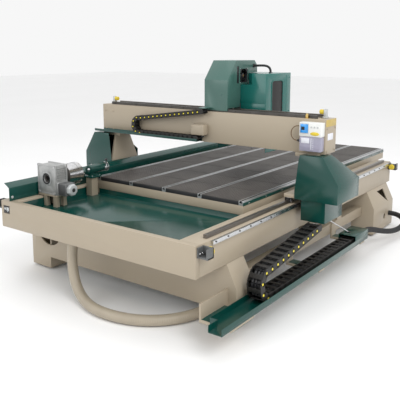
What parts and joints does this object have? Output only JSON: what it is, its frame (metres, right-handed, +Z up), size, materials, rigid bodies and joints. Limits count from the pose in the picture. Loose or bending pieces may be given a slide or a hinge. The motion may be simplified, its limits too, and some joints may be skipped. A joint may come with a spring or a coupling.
{
  "type": "cnc router",
  "caption": "Gantry CNC router: long vacuum table with clamp slots on a welded frame, travelling gantry, covered spindle head, rotary chuck and tailstock beside the table, looped cable chains.",
  "frame": {"origin": "on the floor under the middle of the welded frame", "axes": "+X across the table towards the cable-chain side, +Y along the table away from the rotary axis, +Z up"},
  "size_m": [2.304, 3.3986, 1.51],
  "materials": {
    "frame_paint": "satin",
    "green_paint": "satin",
    "cover_paint": "satin",
    "grey_paint": "satin",
    "ground_steel": "ground",
    "cast": "satin",
    "alloy": "satin",
    "panel": "matt",
    "motor_black": "satin",
    "chain_black": "matt",
    "bumper": "matt",
    "hose": "satin",
    "conduit": "matt",
    "case_plastic": "satin",
    "clear_plastic": "clear",
    "oil_line": "gloss",
    "knob": "gloss"
  },
  "bodies": {
    "frame": {"side_beams": "frame_paint", "front_apron": "frame_paint", "rear_cross_beam": "frame_paint", "front_leg_frame": "frame_paint", "rear_leg_frame": "frame_paint", "tie_rails": "frame_paint", "levelling_feet": "ground_steel", "tray_sheet": "green_paint", "table_frame": "frame_paint", "vacuum_panels": "panel", "t_slot_rails": "alloy", "y_rails": "ground_steel", "y_racks": "ground_steel", "y_stops": "grey_paint", "rail_guard": "green_paint", "rotary_posts": "frame_paint", "rotary_gearbox": "cast", "rotary_motor": "motor_black", "tailstock_body": "green_paint", "chain_tray": "green_paint", "tray_end_box": "green_paint", "y_chain": "chain_black", "vacuum_hose": "hose", "hose_fittings": "conduit", "rear_conduit": "conduit"},
    "gantry": {"gantry_beam": "frame_paint", "gantry_feet": "frame_paint", "y_blocks": "ground_steel", "foot_covers": "green_paint", "y_motors": "motor_black", "x_rails": "ground_steel", "x_rack": "ground_steel", "x_stops": "frame_paint", "lubricator_case": "case_plastic", "lubricator_tank": "clear_plastic", "lube_tube": "oil_line", "head_chain_tray": "green_paint", "head_chain_box": "frame_paint", "head_chain": "chain_black"},
    "pinion_left": {"y_pinion_left": "ground_steel"},
    "pinion_right": {"y_pinion_right": "ground_steel"},
    "carriage": {"x_saddle": "cast", "head_blocks": "ground_steel", "head_cover": "cover_paint", "spindle_cover": "cover_paint", "head_motors": "motor_black", "fan_frame": "motor_black", "head_conduit": "conduit"},
    "carriage_pinion": {"x_pinion": "ground_steel"},
    "lead_screw": {"ball_screw": "ground_steel"},
    "fan": {"fan_rotor": "motor_black"},
    "spindle_slide": {"z_plate": "cast", "spindle_body": "alloy"},
    "tool": {"tool_holder": "ground_steel"},
    "chuck": {"rotary_chuck": "ground_steel"},
    "jaw_a": {"jaw_1": "ground_steel"},
    "jaw_b": {"jaw_2": "ground_steel"},
    "jaw_c": {"jaw_3": "ground_steel"},
    "quill": {"tailstock_quill": "ground_steel"},
    "lever": {"tailstock_lever": "knob"}
  },
  "joints": [
    {"name": "y_axis", "type": "slide", "parent": "frame", "child": "gantry", "axis": [0, 1, 0], "range_m": [-0.65, 1.5], "deforming": ["y_chain"]},
    {"name": "y_pinion_left_spin", "type": "hinge", "parent": "gantry", "child": "pinion_left", "pos_m": [-0.8455, -0.228, 0.5136], "axis": [1, 0, 0], "range_deg": [-3400, 3400]},
    {"name": "y_pinion_right_spin", "type": "hinge", "parent": "gantry", "child": "pinion_right", "pos_m": [0.8455, -0.228, 0.5136], "axis": [1, 0, 0], "range_deg": [-3400, 3400]},
    {"name": "x_axis", "type": "slide", "parent": "gantry", "child": "carriage", "axis": [1, 0, 0], "range_m": [-0.885, 0.41], "deforming": ["head_chain"]},
    {"name": "x_pinion_spin", "type": "hinge", "parent": "carriage", "child": "carriage_pinion", "pos_m": [0.132, -0.2656, 1.15], "axis": [0, 0, 1], "range_deg": [-2200, 2200]},
    {"name": "z_axis", "type": "slide", "parent": "carriage", "child": "spindle_slide", "axis": [0, 0, 1], "range_m": [-0.19, 0]},
    {"name": "ball_screw_spin", "type": "hinge", "parent": "carriage", "child": "lead_screw", "pos_m": [0.24, -0.1025, 1.1], "axis": [0, 0, 1], "range_deg": [-7200, 360]},
    {"name": "fan_spin", "type": "hinge", "parent": "carriage", "child": "fan", "pos_m": [0.2225, -0.1, 1.397], "axis": [1, 0, 0], "continuous": true},
    {"name": "tool_spin", "type": "hinge", "parent": "spindle_slide", "child": "tool", "pos_m": [0.24, 0.02, 0.95], "axis": [0, 0, 1], "continuous": true},
    {"name": "chuck_spin", "type": "hinge", "parent": "frame", "child": "chuck", "pos_m": [-0.64, -1.08, 0.7], "axis": [0, 1, 0], "continuous": true},
    {"name": "jaw_a_slide", "type": "slide", "parent": "chuck", "child": "jaw_a", "axis": [0, 0, 1], "range_m": [-0.012, 0.018]},
    {"name": "jaw_b_slide", "type": "slide", "parent": "chuck", "child": "jaw_b", "axis": [0.866, 0, -0.5], "range_m": [-0.013, 0.019]},
    {"name": "jaw_c_slide", "type": "slide", "parent": "chuck", "child": "jaw_c", "axis": [-0.866, 0, -0.5], "range_m": [-0.013, 0.019]},
    {"name": "quill_slide", "type": "slide", "parent": "frame", "child": "quill", "axis": [0, 1, 0], "range_m": [-0.04, 0.02]},
    {"name": "lever_turn", "type": "hinge", "parent": "frame", "child": "lever", "pos_m": [-0.59, -0.74, 0.7], "axis": [1, 0, 0], "range_deg": [-55, 20]}
  ],
  "couplings": [
    {"joint": "y_pinion_left_spin", "follows": "y_axis", "rad_per_m": -36.765},
    {"joint": "y_pinion_right_spin", "follows": "y_axis", "rad_per_m": -36.765},
    {"joint": "x_pinion_spin", "follows": "x_axis", "rad_per_m": 39.682},
    {"joint": "ball_screw_spin", "follows": "z_axis", "rad_per_m": 628.32},
    {"joint": "jaw_b_slide", "follows": "jaw_a_slide", "ratio": 1},
    {"joint": "jaw_c_slide", "follows": "jaw_a_slide", "ratio": 1}
  ]
}
